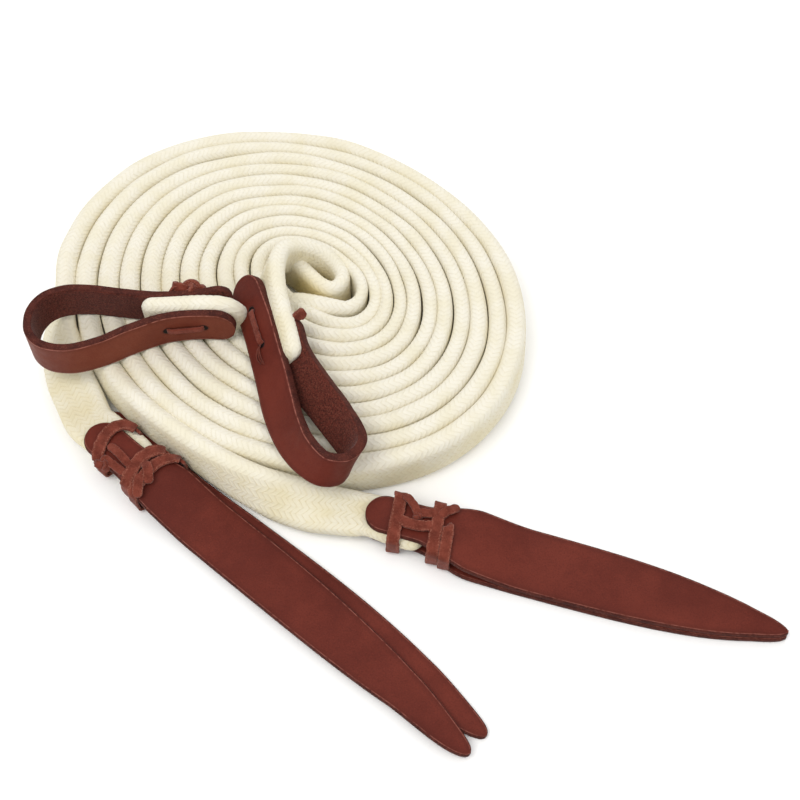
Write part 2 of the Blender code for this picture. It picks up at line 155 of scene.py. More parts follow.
def smooth(points, step):
    """Evenly spaced rows on the Catmull-Rom curve through given ones."""
    given = np.array(points, float)
    ends = np.vstack((2 * given[0] - given[1], given, 2 * given[-1] - given[-2]))
    s = np.linspace(0, 1, 24, endpoint=False)[:, None]
    fine = []
    for a, b, c, d in zip(ends, ends[1:], ends[2:], ends[3:]):
        fine.append(0.5 * (2 * b + (c - a) * s + (2 * a - 5 * b + 4 * c - d) * s**2
                           + (3 * b - a - 3 * c + d) * s**3))
    fine = np.vstack((*fine, ends[-2:-1]))
    run = arc_length(fine[:, :3])
    even = np.linspace(0, run[-1], int(round(run[-1] / step)) + 1)
    return np.stack([np.interp(even, run, fine[:, k]) for k in range(fine.shape[1])], axis=1)


def body(grid, along, around, slots=None):
    """A closed body from rings of points (rings x girth x 3), with run lengths for its UV map."""
    rings, girth = grid.shape[:2]
    points = np.vstack((grid.reshape(-1, 3), grid[0], grid[0].mean(0), grid[-1], grid[-1].mean(0)))
    i, j = np.meshgrid(np.arange(rings - 1), np.arange(girth), indexing="ij")
    k = (j + 1) % girth
    quads = np.stack((i * girth + j, i * girth + k, (i + 1) * girth + k, (i + 1) * girth + j), -1)
    ring = np.arange(girth)
    after = (ring + 1) % girth
    first = rings * girth
    last = first + girth + 1
    # The end faces have points of their own, so that a seam between two pieces shades smoothly.
    caps = np.vstack((np.stack((np.full(girth, first + girth), first + after, first + ring), -1),
                      np.stack((np.full(girth, last + girth), last + ring, last + after), -1)))
    u_of = np.broadcast_to(along.reshape(rings, -1), (rings, girth))
    v_of = np.broadcast_to(around.reshape(-1, around.shape[-1]), (rings, girth + 1))
    quad_uv = np.empty((rings - 1, girth, 4, 2))
    for corner, (di, dj) in enumerate(((0, 0), (0, 1), (1, 1), (1, 0))):
        rows = np.arange(rings - 1) + di
        quad_uv[:, :, corner, 0] = u_of[rows][:, (np.arange(girth) + dj) % girth]
        quad_uv[:, :, corner, 1] = v_of[rows][:, dj:girth + dj]
    cap_uv = np.zeros((2 * girth, 3, 2))
    for end, row in enumerate((0, -1)):
        part = cap_uv[end * girth:(end + 1) * girth]
        part[:, :, 0] = u_of[row, 0]
        part[:, 0, 1] = v_of[row].mean()
        part[:, 1, 1], part[:, 2, 1] = v_of[row, :-1], v_of[row, 1:]
    slots = np.zeros(girth, int) if slots is None else slots
    face_slots = np.concatenate((np.broadcast_to(slots, (rings - 1, girth)).ravel(),
                                 np.full(2 * girth, slots[-1])))
    return points, quads.reshape(-1, 4), caps, quad_uv.reshape(-1, 2), cap_uv.reshape(-1, 2), face_slots


def build(name, bodies, surfaces):
    """One object out of closed bodies."""
    points, corners, counts, uvs, slots, base = [], [], [], [], [], 0
    for own, quads, caps, quad_uv, cap_uv, face_slots in bodies:
        points.append(own)
        corners += [quads.ravel() + base, caps.ravel() + base]
        counts += [np.full(len(quads), 4), np.full(len(caps), 3)]
        uvs += [quad_uv, cap_uv]
        slots.append(face_slots)
        base += len(own)
    points, corners, counts = np.vstack(points), np.concatenate(corners), np.concatenate(counts)
    data = bpy.data.meshes.new(name)
    data.vertices.add(len(points))
    data.vertices.foreach_set("co", points.astype(np.float32).ravel())
    data.loops.add(len(corners))
    data.loops.foreach_set("vertex_index", corners.astype(np.int32))
    data.polygons.add(len(counts))
    starts = np.concatenate(([0], np.cumsum(counts)[:-1]))
    data.polygons.foreach_set("loop_start", starts.astype(np.int32))
    data.update(calc_edges=True)
    uv = data.uv_layers.new(name="run")
    uv.data.foreach_set("uv", np.vstack(uvs).astype(np.float32).ravel())
    data.polygons.foreach_set("material_index", np.concatenate(slots).astype(np.int32))
    data.shade_smooth()
    data.validate()
    for surface in surfaces:
        data.materials.append(surface)
    made = bpy.data.objects.new(name, data)
    bpy.context.scene.collection.objects.link(made)
    return made


# ---------------------------------------------------------------- materials


class Nodes:
    """A short way to build a procedural material."""

    def __init__(self, name):
        self.made = bpy.data.materials.new(name)
        self.made.use_nodes = True
        self.tree = self.made.node_tree
        self.shader = self.tree.nodes["Principled BSDF"]

    def node(self, kind, **settings):
        made = self.tree.nodes.new(kind)
        for key, value in settings.items():
            setattr(made, key, value)
        return made

    def feed(self, socket, value):
        if isinstance(value, bpy.types.NodeSocket):
            self.tree.links.new(value, socket)
        else:
            socket.default_value = value

    def math(self, operation, *values):
        made = self.node("ShaderNodeMath", operation=operation)
        for socket, value in zip(made.inputs, values):
            self.feed(socket, value)
        return made.outputs[0]

    def ramp(self, value, low, high, start=0.0, stop=1.0):
        made = self.node("ShaderNodeMapRange", interpolation_type="SMOOTHSTEP")
        for socket, given in zip(made.inputs, (value, low, high, start, stop)):
            self.feed(socket, given)
        return made.outputs[0]

    def mix(self, share, a, b):
        made = self.node("ShaderNodeMix", data_type="RGBA")
        self.feed(made.inputs["Factor"], share)
        for key, value in (("A", a), ("B", b)):
            socket = [s for s in made.inputs if s.name == key and s.type == "RGBA"][0]
            self.feed(socket, value if isinstance(value, bpy.types.NodeSocket) else (*value, 1.0))
        return [s for s in made.outputs if s.type == "RGBA"][0]

    def noise(self, vector, scale, detail=3.0, rough=0.55):
        made = self.node("ShaderNodeTexNoise")
        self.feed(made.inputs["Vector"], vector)
        self.feed(made.inputs["Scale"], scale)
        self.feed(made.inputs["Detail"], detail)
        self.feed(made.inputs["Roughness"], rough)
        return made.outputs[0]

    def cells(self, vector, scale):
        made = self.node("ShaderNodeTexVoronoi")
        self.feed(made.inputs["Vector"], vector)
        self.feed(made.inputs["Scale"], scale)
        return made.outputs["Distance"]

    def run(self):
        """The way along a body, and the way round it or across it."""
        made = self.node("ShaderNodeUVMap", uv_map="run")
        split = self.node("ShaderNodeSeparateXYZ")
        self.feed(split.inputs[0], made.outputs[0])
        return split.outputs[0], split.outputs[1]

    def place(self):
        return self.node("ShaderNodeTexCoord").outputs["Object"]

    def bump(self, height, distance, strength):
        made = self.node("ShaderNodeBump")
        self.feed(made.inputs["Height"], height)
        made.inputs["Distance"].default_value = distance
        made.inputs["Strength"].default_value = strength
        return made.outputs[0]

    def finish(self, colour, roughness, normal, **constants):
        self.feed(self.shader.inputs["Base Color"], colour)
        self.feed(self.shader.inputs["Roughness"], roughness)
        self.feed(self.shader.inputs["Normal"], normal)
        for key, value in constants.items():
            self.shader.inputs[key.replace("_", " ")].default_value = value
        return self.made


def cotton_material():
    """Soft ivory plaits in rows of chevrons, with painted shade: yellower down their sides toward the
    seams, and in the creases.
    """
    n = Nodes("braided_cotton")
    u, v = n.run()
    spot = n.place()
    column = n.math("MULTIPLY", v, COLUMNS)
    slot = n.math("FLOOR", column)
    across = n.math("SUBTRACT", n.math("FRACT", column), 0.5)
    side = n.math("SUBTRACT", 1.0, n.math("MULTIPLY", n.math("MODULO", slot, 2.0), 2.0))
    drift = n.math("MULTIPLY", n.math("SUBTRACT", n.noise(spot, 130.0, 2.0), 0.5), 0.9)
    phase = n.math("ADD", n.math("MULTIPLY", u, 1 / PLAIT_PITCH), n.math("MULTIPLY", across, side))
    phase = n.math("ADD", phase, drift)
    saw = n.math("MULTIPLY", n.math("FRACT", phase), 2.0)
    wave = n.math("ABSOLUTE", n.math("SUBTRACT", saw, 1.0))
    stitch = n.math("SUBTRACT", 1.0, n.math("POWER", wave, 2.6))
    from_middle = n.math("MULTIPLY", n.math("ABSOLUTE", across), 2.0)
    rim = n.math("SUBTRACT", 1.0, n.math("POWER", from_middle, 3.0))
    height = n.math("MULTIPLY", stitch, n.math("ADD", 0.45, n.math("MULTIPLY", rim, 0.55)))
    twist = n.math("ADD", n.math("MULTIPLY", across, 22.0), n.math("MULTIPLY", phase, 3.1))
    yarn = n.math("SINE", twist)
    relief = n.math("ADD", height, n.math("MULTIPLY", yarn, 0.08))
    relief = n.math("ADD", relief, n.math("MULTIPLY", n.noise(spot, 2200.0, 2.0), 0.35))
    # v runs 0 to 1 round the girth, from the lower edge over one side to the upper edge at 0.5.
    off_top = n.math("ABSOLUTE", n.math("SUBTRACT", v, 0.5))
    # Painted shade: away from the top edge, down the strand's sides, the colour turns to a yellower,
    # darker side tone.
    down = n.ramp(off_top, 0.05, 0.18)
    blotch = n.ramp(n.noise(spot, 60.0, 4.0), 0.36, 0.68)
    light = n.mix(blotch, (0.790, 0.752, 0.645), (0.757, 0.708, 0.560))
    side_shade_tone = n.mix(blotch, (0.760, 0.705, 0.540), (0.720, 0.640, 0.420))
    body_tone = n.mix(n.math("MULTIPLY", down, 0.75), light, side_shade_tone)
    # The innermost turns shade one another, and look yellower there.
    reach = n.node("ShaderNodeVectorMath", operation="DISTANCE")
    n.feed(reach.inputs[0], spot)
    reach.inputs[1].default_value = HOLLOW
    shaded = n.ramp(reach.outputs["Value"], *HOLLOW_REACH, 0.9, 0.0)
    body_tone = n.mix(shaded, body_tone, (0.740, 0.620, 0.290))
    # Painted shade in the creases: where the plaits' relief is low, the colour turns darker and yellower,
    # in patches.
    crease_shade = n.mix(down, (0.715, 0.660, 0.505), (0.640, 0.550, 0.330))
    patchy = n.ramp(n.noise(spot, 320.0, 3.0, 0.7), 0.30, 0.75, 0.25, 1.0)
    crease_shade_share = n.math("MULTIPLY", n.ramp(height, 0.05, 0.50, 1.0, 0.0), patchy)
    colour = n.mix(crease_shade_share, body_tone, crease_shade)
    return n.finish(colour, 0.92, n.bump(relief, 0.00040, 0.50), Sheen_Weight=0.10,
                    Sheen_Roughness=0.6, Specular_IOR_Level=0.12)


def leather_material(name, holes=(), half=0.0, dark=(0.092, 0.0125, 0.0068),
                     light=(0.142, 0.0230, 0.0130)):
    """Oiled reddish-brown leather. Holes are distances along a strap of the given half width."""
    n = Nodes(name)
    u, v = n.run()
    spot = n.place()
    inset = n.math("SUBTRACT", half, n.math("ABSOLUTE", v)) if half else v
    cloud = n.ramp(n.noise(spot, 26.0, 5.0, 0.62), 0.30, 0.72)
    grain = n.cells(spot, 1500.0)
    pore = n.noise(spot, 3200.0, 2.0, 0.6)
    colour = n.mix(cloud, dark, light)
    speck = n.ramp(n.noise(spot, 1100.0, 3.0, 0.7), 0.42, 0.72)
    colour = n.mix(n.math("MULTIPLY", speck, 0.40), colour, tuple(c * 0.66 for c in dark))
    fleck = n.ramp(n.noise(spot, 1700.0, 2.0, 0.7), 0.58, 0.75)
    colour = n.mix(n.math("MULTIPLY", fleck, 0.32), colour, tuple(c * 1.7 for c in light))
    # Painted shade darkens the face toward its rim.
    shade = n.ramp(inset, 0.0010, 0.0042, 0.34, 0.0)
    colour = n.mix(shade, colour, tuple(c * 0.55 for c in dark))
    # The corner itself is painted pale, partly as rubbed wear and partly as a painted highlight.
    patchy = n.ramp(n.noise(spot, 420.0, 3.0), 0.30, 0.62)
    wear_and_highlight = n.math("MULTIPLY", n.ramp(inset, 0.0007, 0.0013, 1.0, 0.0), patchy)
    colour = n.mix(n.math("MULTIPLY", wear_and_highlight, 0.65), colour, (0.36, 0.130, 0.095))
    height = n.math("ADD", n.math("MULTIPLY", grain, -0.35), n.math("MULTIPLY", pore, 0.5))
    if holes:
        reach = None
        for along in holes:
            du = n.math("MULTIPLY", n.math("SUBTRACT", u, along), 0.85)
            span = n.math("SQRT", n.math("ADD", n.math("MULTIPLY", du, du), n.math("MULTIPLY", v, v)))
            reach = span if reach is None else n.math("MINIMUM", reach, span)
        hole = n.ramp(reach, 0.0019, 0.0025, 1.0, 0.0)
        # Painted shade: each hole is painted near-black, inside a darker ring.
        colour = n.mix(n.ramp(reach, 0.0023, 0.0036, 0.5, 0.0), colour, tuple(c * 0.5 for c in dark))
        colour = n.mix(hole, colour, (0.005, 0.0015, 0.001))
        height = n.math("SUBTRACT", height, n.math("MULTIPLY", hole, 6.0))
    rough = n.ramp(n.noise(spot, 260.0, 3.0), 0.2, 0.8, 0.46, 0.62)
    return n.finish(colour, rough, n.bump(height, 0.00012, 0.6), Specular_IOR_Level=0.16)


def flesh_material():
    """The loops' rough inner side: darker, matted fibres with pale flecks."""
    n = Nodes("leather_flesh_side")
    spot = n.place()
    mat = n.noise(spot, 900.0, 4.0, 0.8)
    fleck = n.ramp(n.noise(spot, 1300.0, 3.0, 0.85), 0.50, 0.66)
    colour = n.mix(n.ramp(mat, 0.36, 0.64), (0.042, 0.0075, 0.0045), (0.125, 0.0240, 0.0150))
    colour = n.mix(n.math("MULTIPLY", fleck, 0.42), colour, (0.30, 0.105, 0.065))
    return n.finish(colour, 0.9, n.bump(mat, 0.0004, 0.8), Sheen_Weight=0.1, Specular_IOR_Level=0.1)


def edge_material():
    """Cut leather edge, dark with burnish, in fine speckled fibres."""
    n = Nodes("leather_cut_edge")
    spot = n.place()
    streak = n.noise(spot, 1100.0, 4.0, 0.75)
    tone = n.ramp(n.noise(spot, 160.0, 3.0), 0.3, 0.7)
    colour = n.mix(tone, (0.040, 0.0075, 0.0050), (0.078, 0.0165, 0.0105))
    colour = n.mix(n.math("MULTIPLY", n.ramp(streak, 0.50, 0.70), 0.55), colour, (0.205, 0.060, 0.038))
    return n.finish(colour, 0.7, n.bump(streak, 0.0003, 0.6), Specular_IOR_Level=0.15)


def lace_material():
    """Suede-like lace: rusty, matted, with paler rubbed edges."""
    n = Nodes("suede_lace")
    _, v = n.run()
    spot = n.place()
    nap = n.noise(spot, 1300.0, 4.0, 0.75)
    tone = n.ramp(n.noise(spot, 190.0, 3.0, 0.6), 0.3, 0.7)
    colour = n.mix(tone, (0.112, 0.0215, 0.0125), (0.190, 0.0430, 0.0265))
    colour = n.mix(n.math("MULTIPLY", n.ramp(nap, 0.48, 0.72), 0.40), colour, (0.30, 0.095, 0.060))
    rim = n.ramp(n.math("ABSOLUTE", v), 0.0016, 0.0026)
    frayed = n.math("MULTIPLY", rim, n.ramp(nap, 0.45, 0.60))
    colour = n.mix(n.math("MULTIPLY", frayed, 0.40), colour, (0.40, 0.170, 0.115))
    return n.finish(colour, 0.93, n.bump(nap, 0.0004, 0.9), Sheen_Weight=0.12, Specular_IOR_Level=0.08)


# ---------------------------------------------------------------- the braids


def coil_point(angle, turns_in):
    """Where a strand is at an angle in degrees, turns_in turns inside the first one."""
    t = angle / 360 - turns_in
    rad = np.radians(angle)
    centre_x = COIL_CENTRE[0][0] + COIL_CENTRE[0][1] * t
    centre_y = COIL_CENTRE[1][0] + COIL_CENTRE[1][1] * t
    reach_x = COIL_REACH_X[0] + COIL_REACH_X[1] * t + COIL_REACH_X[2] * t * t
    reach_y = COIL_REACH_Y[0] + COIL_REACH_Y[1] * t + COIL_REACH_Y[2] * t * t
    skew = COIL_SKEW[0] + COIL_SKEW[1] * t
    return np.stack((centre_x + reach_x * np.cos(rad) + skew * np.sin(rad),
                     centre_y + reach_y * np.sin(rad) + skew * np.cos(rad)), -1)


def strand_pitch(angle, turns_in):
    """Room from this strand to its two neighbours, across the run, per strand."""
    outer, inner = coil_point(angle, turns_in - 0.5), coil_point(angle, turns_in + 0.5)
    ahead = unit(coil_point(angle + 1, turns_in) - coil_point(angle - 1, turns_in))
    gap = outer - inner
    return 0.5 * np.abs(gap[..., 0] * ahead[..., 1] - gap[..., 1] * ahead[..., 0])


def coil_rows(first, turns_in, seed):
    """Rows of x, y, z, tilt, thickness and width along one rein's turns."""
    angle = np.arange(first, COIL_LAST_ANGLE, COIL_STEP)
    out_x, out_y = np.cos(np.radians(angle)), np.sin(np.radians(angle))
    x, y = coil_point(angle, turns_in).T
    pitch = strand_pitch(angle, turns_in)
    run = arc_length(np.stack((x, y), -1))
    if turns_in == 0.0:
        # The innermost turn is pulled in a little below its hollow.
        pull = INNER_PULL * (1 - ease(angle, -45, 25))
        x, y = x - pull * out_x, y - pull * out_y
    else:
        # The two reins lie in pairs, with a slightly wider gap between one pair and the next.
        x, y = x + PAIR_SHIFT * out_x, y + PAIR_SHIFT * out_y
        pitch = pitch - PAIR_GAP
        pitch = pitch * (1 + 0.22 * ease(angle, 280, 330) * (1 - ease(angle, 380, 470)))
    thick = np.clip(pitch * (1.0 + 0.02 * wobble(run, seed, 0.11)), *STRAND_THICK)
    lean = np.arcsin(np.clip((pitch - 0.97 * thick) / BRAID_WIDTH, 0.0, 0.20))
    lean = -lean + 0.035 * wobble(run, seed + 1, 0.16)
    width = BRAID_WIDTH * (1 + 0.022 * wobble(run, seed + 2, 0.09))
    height = 0.5 * (width - thick) * np.cos(lean) + 0.5 * thick
    return np.stack((x, y, height, lean, thick, width), -1)


def plait(run, girth_share):
    """How far the weave stands out, 0 to 1: a crest on each plait of each column."""
    column = girth_share * COLUMNS
    across = column - np.floor(column) - 0.5
    side = 1 - 2 * (np.floor(column) % 2)
    phase = run[:, None] / PLAIT_PITCH + (across * side)[None, :]
    wave = np.abs(2 * (phase - np.floor(phase)) - 1)
    rim = 1 - np.abs(2 * across) ** 3
    return (1 - wave**2.6) * (0.45 + 0.55 * rim)[None, :]


def braid(name, rows, surface, start_run=0.0, blunt=(0.0, 0.0)):
    """A flat braid on rows of x, y, z, tilt, thickness, width. Tilt 0 stands on edge."""
    centre = rows[:, :3] - np.array((*LAYOUT_CENTRE, 0.0))
    tangent = unit(np.gradient(centre, axis=0))
    up = np.array((0.0, 0.0, 1.0))
    stand = unit(up - (tangent @ up)[:, None] * tangent)
    right = np.cross(tangent, stand)
    tilt = rows[:, 3:4]
    wide = np.cos(tilt) * stand + np.sin(tilt) * right
    out = np.cross(tangent, wide)
    run = arc_length(centre)
    thick, width = rows[:, 4:5].copy(), rows[:, 5:6].copy()
    share = np.arange(GIRTH_POINTS) / GIRTH_POINTS
    # Walk a stadium from the middle of its lower edge, up one side, over the top and back.
    half_t = 0.5 * thick
    straight = np.maximum(width - thick, 0.0002)
    quarter = math.pi / 2 * half_t
    total = 4 * quarter + 2 * straight
    s = share[None, :] * total
    w = np.zeros_like(s)
    t = np.zeros_like(s)
    low_end = s <= quarter
    side_a = (s > quarter) & (s <= quarter + straight)
    top_end = (s > quarter + straight) & (s <= 3 * quarter + straight)
    side_b = (s > 3 * quarter + straight) & (s <= 3 * quarter + 2 * straight)
    low_back = s > 3 * quarter + 2 * straight
    radius = np.broadcast_to(half_t, s.shape)
    flat = np.broadcast_to(straight, s.shape)
    turn = s / radius
    for mask, angle, middle in (
        (low_end, turn, -1), (top_end, turn - flat / radius, 1),
        (low_back, turn - 2 * flat / radius, -1),
    ):
        w[mask] = (middle * 0.5 * flat - radius * np.cos(angle))[mask]
        t[mask] = (radius * np.sin(angle))[mask]
    w[side_a] = (s - quarter - 0.5 * flat)[side_a]
    t[side_a] = radius[side_a]
    w[side_b] = (0.5 * flat - (s - 3 * quarter - flat))[side_b]
    t[side_b] = -radius[side_b]
    # The sides belly a little between the two edges.
    t *= 1 + 0.035 * (1 - (2 * w / width) ** 2)
    bump = PLAIT_HEIGHT * (plait(run + start_run, share) - 0.6)
    normal_w = np.where(np.abs(w) > 0.5 * flat, w - np.sign(w) * 0.5 * flat, 0.0)
    length = np.sqrt(normal_w**2 + t**2) + 1e-9
    w = w + bump * normal_w / length
    t = t + bump * t / length
    for end, reach in enumerate(blunt):
        if reach:
            away = run if end == 0 else run[-1] - run
            shrink = np.sqrt(np.clip(1 - (1 - np.clip(away / reach, 0, 1)) ** 2, 0.02, 1))
            w, t = w * (0.55 + 0.45 * shrink[:, None]), t * shrink[:, None]
    grid = centre[:, None] + wide[:, None] * w[..., None] + out[:, None] * t[..., None]
    around = np.arange(GIRTH_POINTS + 1) / GIRTH_POINTS
    return build(name, [body(grid, run + start_run, around)], [surface]), centre


# ---------------------------------------------------------------- leather


def strap_outline(half_w, half_t, round_off):
    """Points round a strap's section, from the outer face's lower edge, and each face's side."""
    face = np.linspace(-1, 1, 11)
    outer = [(f * (half_w - round_off), half_t) for f in face]
    upper = [(half_w - round_off * (1 - math.sin(a)), half_t - round_off * (1 - math.cos(a)))
             for a in (math.pi / 6, math.pi / 3, math.pi / 2)]
    inner_turn = [(half_w, 0.0)] + [(w, -t) for w, t in upper[::-1]]
    inner = [(-w, -t) for w, t in outer]
    lower = [(-w, -t) for w, t in upper]
    lower_turn = [(-half_w, 0.0)] + [(-w, t) for w, t in upper[::-1]]
    points = outer + upper + inner_turn + inner + lower + lower_turn
    sides = [0] * 11 + [1] * 6 + [2] * 12 + [1] * 7
    return np.array(points), np.array(sides)


def sweep(centre, wide, half_w, half_t, round_off=0.0008, seed=1, rough=0.0):
    """A strip with soft corners. half_w and half_t may change along it."""
    tangent = unit(np.gradient(centre, axis=0))
    wide = unit(wide - (wide * tangent).sum(-1, keepdims=True) * tangent)
    out = unit(np.cross(tangent, wide))
    half_w = np.broadcast_to(half_w, len(centre))
    half_t = np.broadcast_to(half_t, len(centre))
    base_w, base_t = float(np.max(half_w)), float(np.max(half_t))
    shape, sides = strap_outline(base_w, base_t, round_off)
    run = arc_length(centre)
    w = shape[None, :, 0] * (half_w / base_w)[:, None]
    t = shape[None, :, 1] * (half_t / base_t)[:, None]
    if rough:
        # Each cut edge wanders by itself.
        upper = 1 + rough * wobble(run, seed, 0.005, 3)
        lower = 1 + rough * wobble(run, seed + 7, 0.005, 3)
        w = np.where(w > 0, w * upper[:, None], w * lower[:, None])
        t = t * (1 + 0.5 * rough * wobble(run, seed + 3, 0.009, 2))[:, None]
    grid = centre[:, None] + wide[:, None] * w[..., None] + out[:, None] * t[..., None]
    around = np.concatenate((shape[:, 0], shape[:1, 0]))
    return body(grid, run, around, sides)


def loop_strap(side, route, surfaces, seed, outside, thick):
    """Bends the strap along its lower edge. It gives back a way to find points on its outer face."""
    path = smooth(route, step=0.0012)
    lean_x, lean_y = path[:, 2], path[:, 3]
    rise = np.sqrt(np.maximum(1 - lean_x**2 - lean_y**2, 0.1))
    wide = np.stack((lean_x, lean_y, rise), -1)
    rest_z = STRAP_REST_Z + np.hypot(lean_x, lean_y) * STRAP_THICK / 2
    low = np.stack((path[:, 0] - LAYOUT_CENTRE[0], path[:, 1] - LAYOUT_CENTRE[1], rest_z), -1)
    centre = low + wide * STRAP_WIDTH / 2
    run = arc_length(centre)
    away = np.minimum(run, run[-1] - run)
    taper = np.sqrt(np.clip(1 - (1 - np.clip(away / STRAP_END, 0, 1)) ** 2, 0.004, 1))
    half_w = 0.5 * STRAP_WIDTH * (0.08 + 0.92 * taper) * (1 + 0.008 * wobble(run, seed, 0.05))
    half_t = 0.5 * thick * (0.97 + 0.03 * wobble(run, seed + 5, 0.04))
    strap = sweep(centre, wide, half_w, half_t, STRAP_CORNER)
    made = build(f"{side}_bit_loop", [strap], surfaces)
    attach(made, f"{side}_loop")
    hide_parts(f"{side}_loop_strap")
    out = outside * unit(np.cross(unit(np.gradient(centre, axis=0)), unit(wide)))

    def on_face(along, across, off):
        pick = [np.interp(along, run, column) for column in np.hstack((centre, wide, out)).T]
        spot, up, away_from = np.array(pick[:3]), np.array(pick[3:6]), np.array(pick[6:])
        return (*(spot + up * across + away_from * (off + thick / 2)), *up)

    return on_face


def ribbon(rows, half_w, half_t, seed, step=0.0007, rough=0.10):
    """A narrow lace along rows of x, y, z, its width's direction, and a width factor."""
    fine = smooth(rows, step=step)
    run = arc_length(fine[:, :3])
    away = np.minimum(run, run[-1] - run)
    tip = 0.55 + 0.45 * np.sqrt(np.clip(away / 0.0016, 0, 1))
    return sweep(fine[:, :3], fine[:, 3:6], half_w * fine[:, 6] * tip, half_t, 0.0004, seed, rough)


def knot(centre, size, half_w, half_t, seed, flat=(1.0, 1.0, 0.8), turn=0.0):
    """A small overhand knot, pulled tight."""
    t = np.linspace(0, 2 * math.pi, 64)
    x = (np.sin(t) + 2 * np.sin(2 * t)) / 3
    y = (np.cos(t) - 2 * np.cos(2 * t)) / 3
    z = -np.sin(3 * t) * 0.5
    c, s = math.cos(turn), math.sin(turn)
    line = np.stack(((c * x - s * y) * flat[0], (s * x + c * y) * flat[1], z * flat[2]), -1) * size
    outward = line * np.array((1, 1, 0.4)) + np.array((0, 0, 0.35 * size))
    wide = np.cross(np.gradient(line, axis=0), outward)
    return sweep(line + np.array(centre), wide, half_w, half_t, 0.0004, seed, 0.12)


class Popper:
    """One popper's axes: u from root to tip, v to the left of that, z up."""

    def __init__(self, side, root, tip, half_width, blunt, belly, fan):
        self.side, self.half_width, self.blunt = side, half_width, blunt
        self.belly, self.fan = belly, fan
        self.root = np.array(root)
        run = np.array(tip) - self.root
        self.length = float(np.linalg.norm(run))
        self.along = run / self.length
        self.left = np.array((-self.along[1], self.along[0]))

    def point(self, u, v, z, fan=0.0):
        u, v, z = np.broadcast_arrays(np.asarray(u, float), v, z)
        reach = u - FAN_PIVOT
        turned_u = FAN_PIVOT + reach * math.cos(fan) - v * math.sin(fan)
        turned_v = reach * math.sin(fan) + v * math.cos(fan)
        plan = self.root + turned_u[..., None] * self.along + turned_v[..., None] * self.left
        return np.concatenate((plan - np.array(LAYOUT_CENTRE), z[..., None]), -1)

    def half(self, u):
        """From mid line to edge: a round root, a shoulder past the lace, a long blunt point."""
        if u < ROOT_HALF_WIDTH:
            return math.sqrt(max(ROOT_HALF_WIDTH**2 - (ROOT_HALF_WIDTH - u) ** 2, 1e-7))
        rise = float(ease(u, *LEAF_RISE))
        shoulder = ROOT_HALF_WIDTH + (self.half_width - ROOT_HALF_WIDTH) * rise
        far = min(max((u / self.length - 0.30) / 0.70, 0.0), 1.0)
        size, power, _ = self.blunt
        left_over = max(self.length - u, 0.0)
        tip = size * (left_over / TIP_SPAN) ** power if left_over < BLUNT_REACH else 0.0
        return max(shoulder * (1 - far**3.2) ** 0.75, tip, 0.0009)

    def shift(self, u):
        """How far the mid line strays from the axis."""
        past = min(max(u - ROOT_LENGTH, 0.0) / (self.length - ROOT_LENGTH), 1.0)
        lean = self.blunt[2] * float(ease(u, self.length - TIP_LEAN[0], self.length - TIP_LEAN[1]))
        return self.belly * math.sin(math.pi * past) + lean

    def drop(self, u, at_root, at_blade):
        return at_root + (at_blade - at_root) * float(ease(u, *LEAF_SLOPE))


def leaf(popper, name, surfaces, at_root, at_blade, fan, seed, root_shift, trim):
    """A leaf as a plate with rounded edges: grain on top, a cut edge all round."""
    root = [ROOT_HALF_WIDTH * (1 - math.cos(a)) for a in np.linspace(0.05, math.pi / 2, 16)]
    tip = [popper.length - 0.012 * (1 - math.sin(a)) for a in np.linspace(0.1, math.pi / 2, 9)]
    blade = list(np.linspace(ROOT_HALF_WIDTH + 0.001, popper.length - 0.0125, 150))
    stations = [u + trim * (1 - float(ease(u, 0.010, 0.030))) for u in root + blade + tip]
    cross = np.linspace(-1, 1, 15)
    edge = 0.0007
    rim = [(0.35, 0.08), (0.8, 0.4)]
    grid, around = [], []
    for u in stations:
        low = popper.drop(u, at_root, at_blade)
        uncut = u - trim * (1 - float(ease(u, 0.010, 0.030)))
        left = popper.half(uncut)
        right = -left
        mid = popper.shift(u) + root_shift * (1 - float(ease(u, *LEAF_RISE)))
        lift = low + 0.00022 * math.sin(u * 61 + seed) * min(u / 0.05, 1)
        cut = min(edge, 0.45 * left)
        top = lift + LEAF_THICK
        width = left - right
        face = [right + cut + (width - 2 * cut) * 0.5 * (1 + c) for c in cross]
        ring = [(v, top) for v in face]
        ring += [(left - cut + cut * a, top - cut * b) for a, b in rim]
        ring += [(left, top - cut - 0.0002), (left, lift + cut)]
        ring += [(left - cut + cut * a, lift + cut * b) for a, b in rim[::-1]]
        ring += [(v, lift) for v in face[::-1]]
        ring += [(right + cut - cut * a, lift + cut * b) for a, b in rim]
        ring += [(right, lift + cut), (right, top - cut - 0.0002)]
        ring += [(right + cut - cut * a, top - cut * b) for a, b in rim[::-1]]
        ring = np.array(ring)
        grid.append(popper.point(u, mid + ring[:, 0], np.maximum(ring[:, 1], 0.0), fan))
        away = np.concatenate((ring[:, 0], ring[:1, 0]))
        around.append(np.where(away > 0, left - away, away - right))
    slots = np.array([0] * 14 + [1] * 7 + [2] * 14 + [1] * 7)
    return build(name, [body(np.array(grid), np.array(stations), np.array(around), slots)], surfaces)


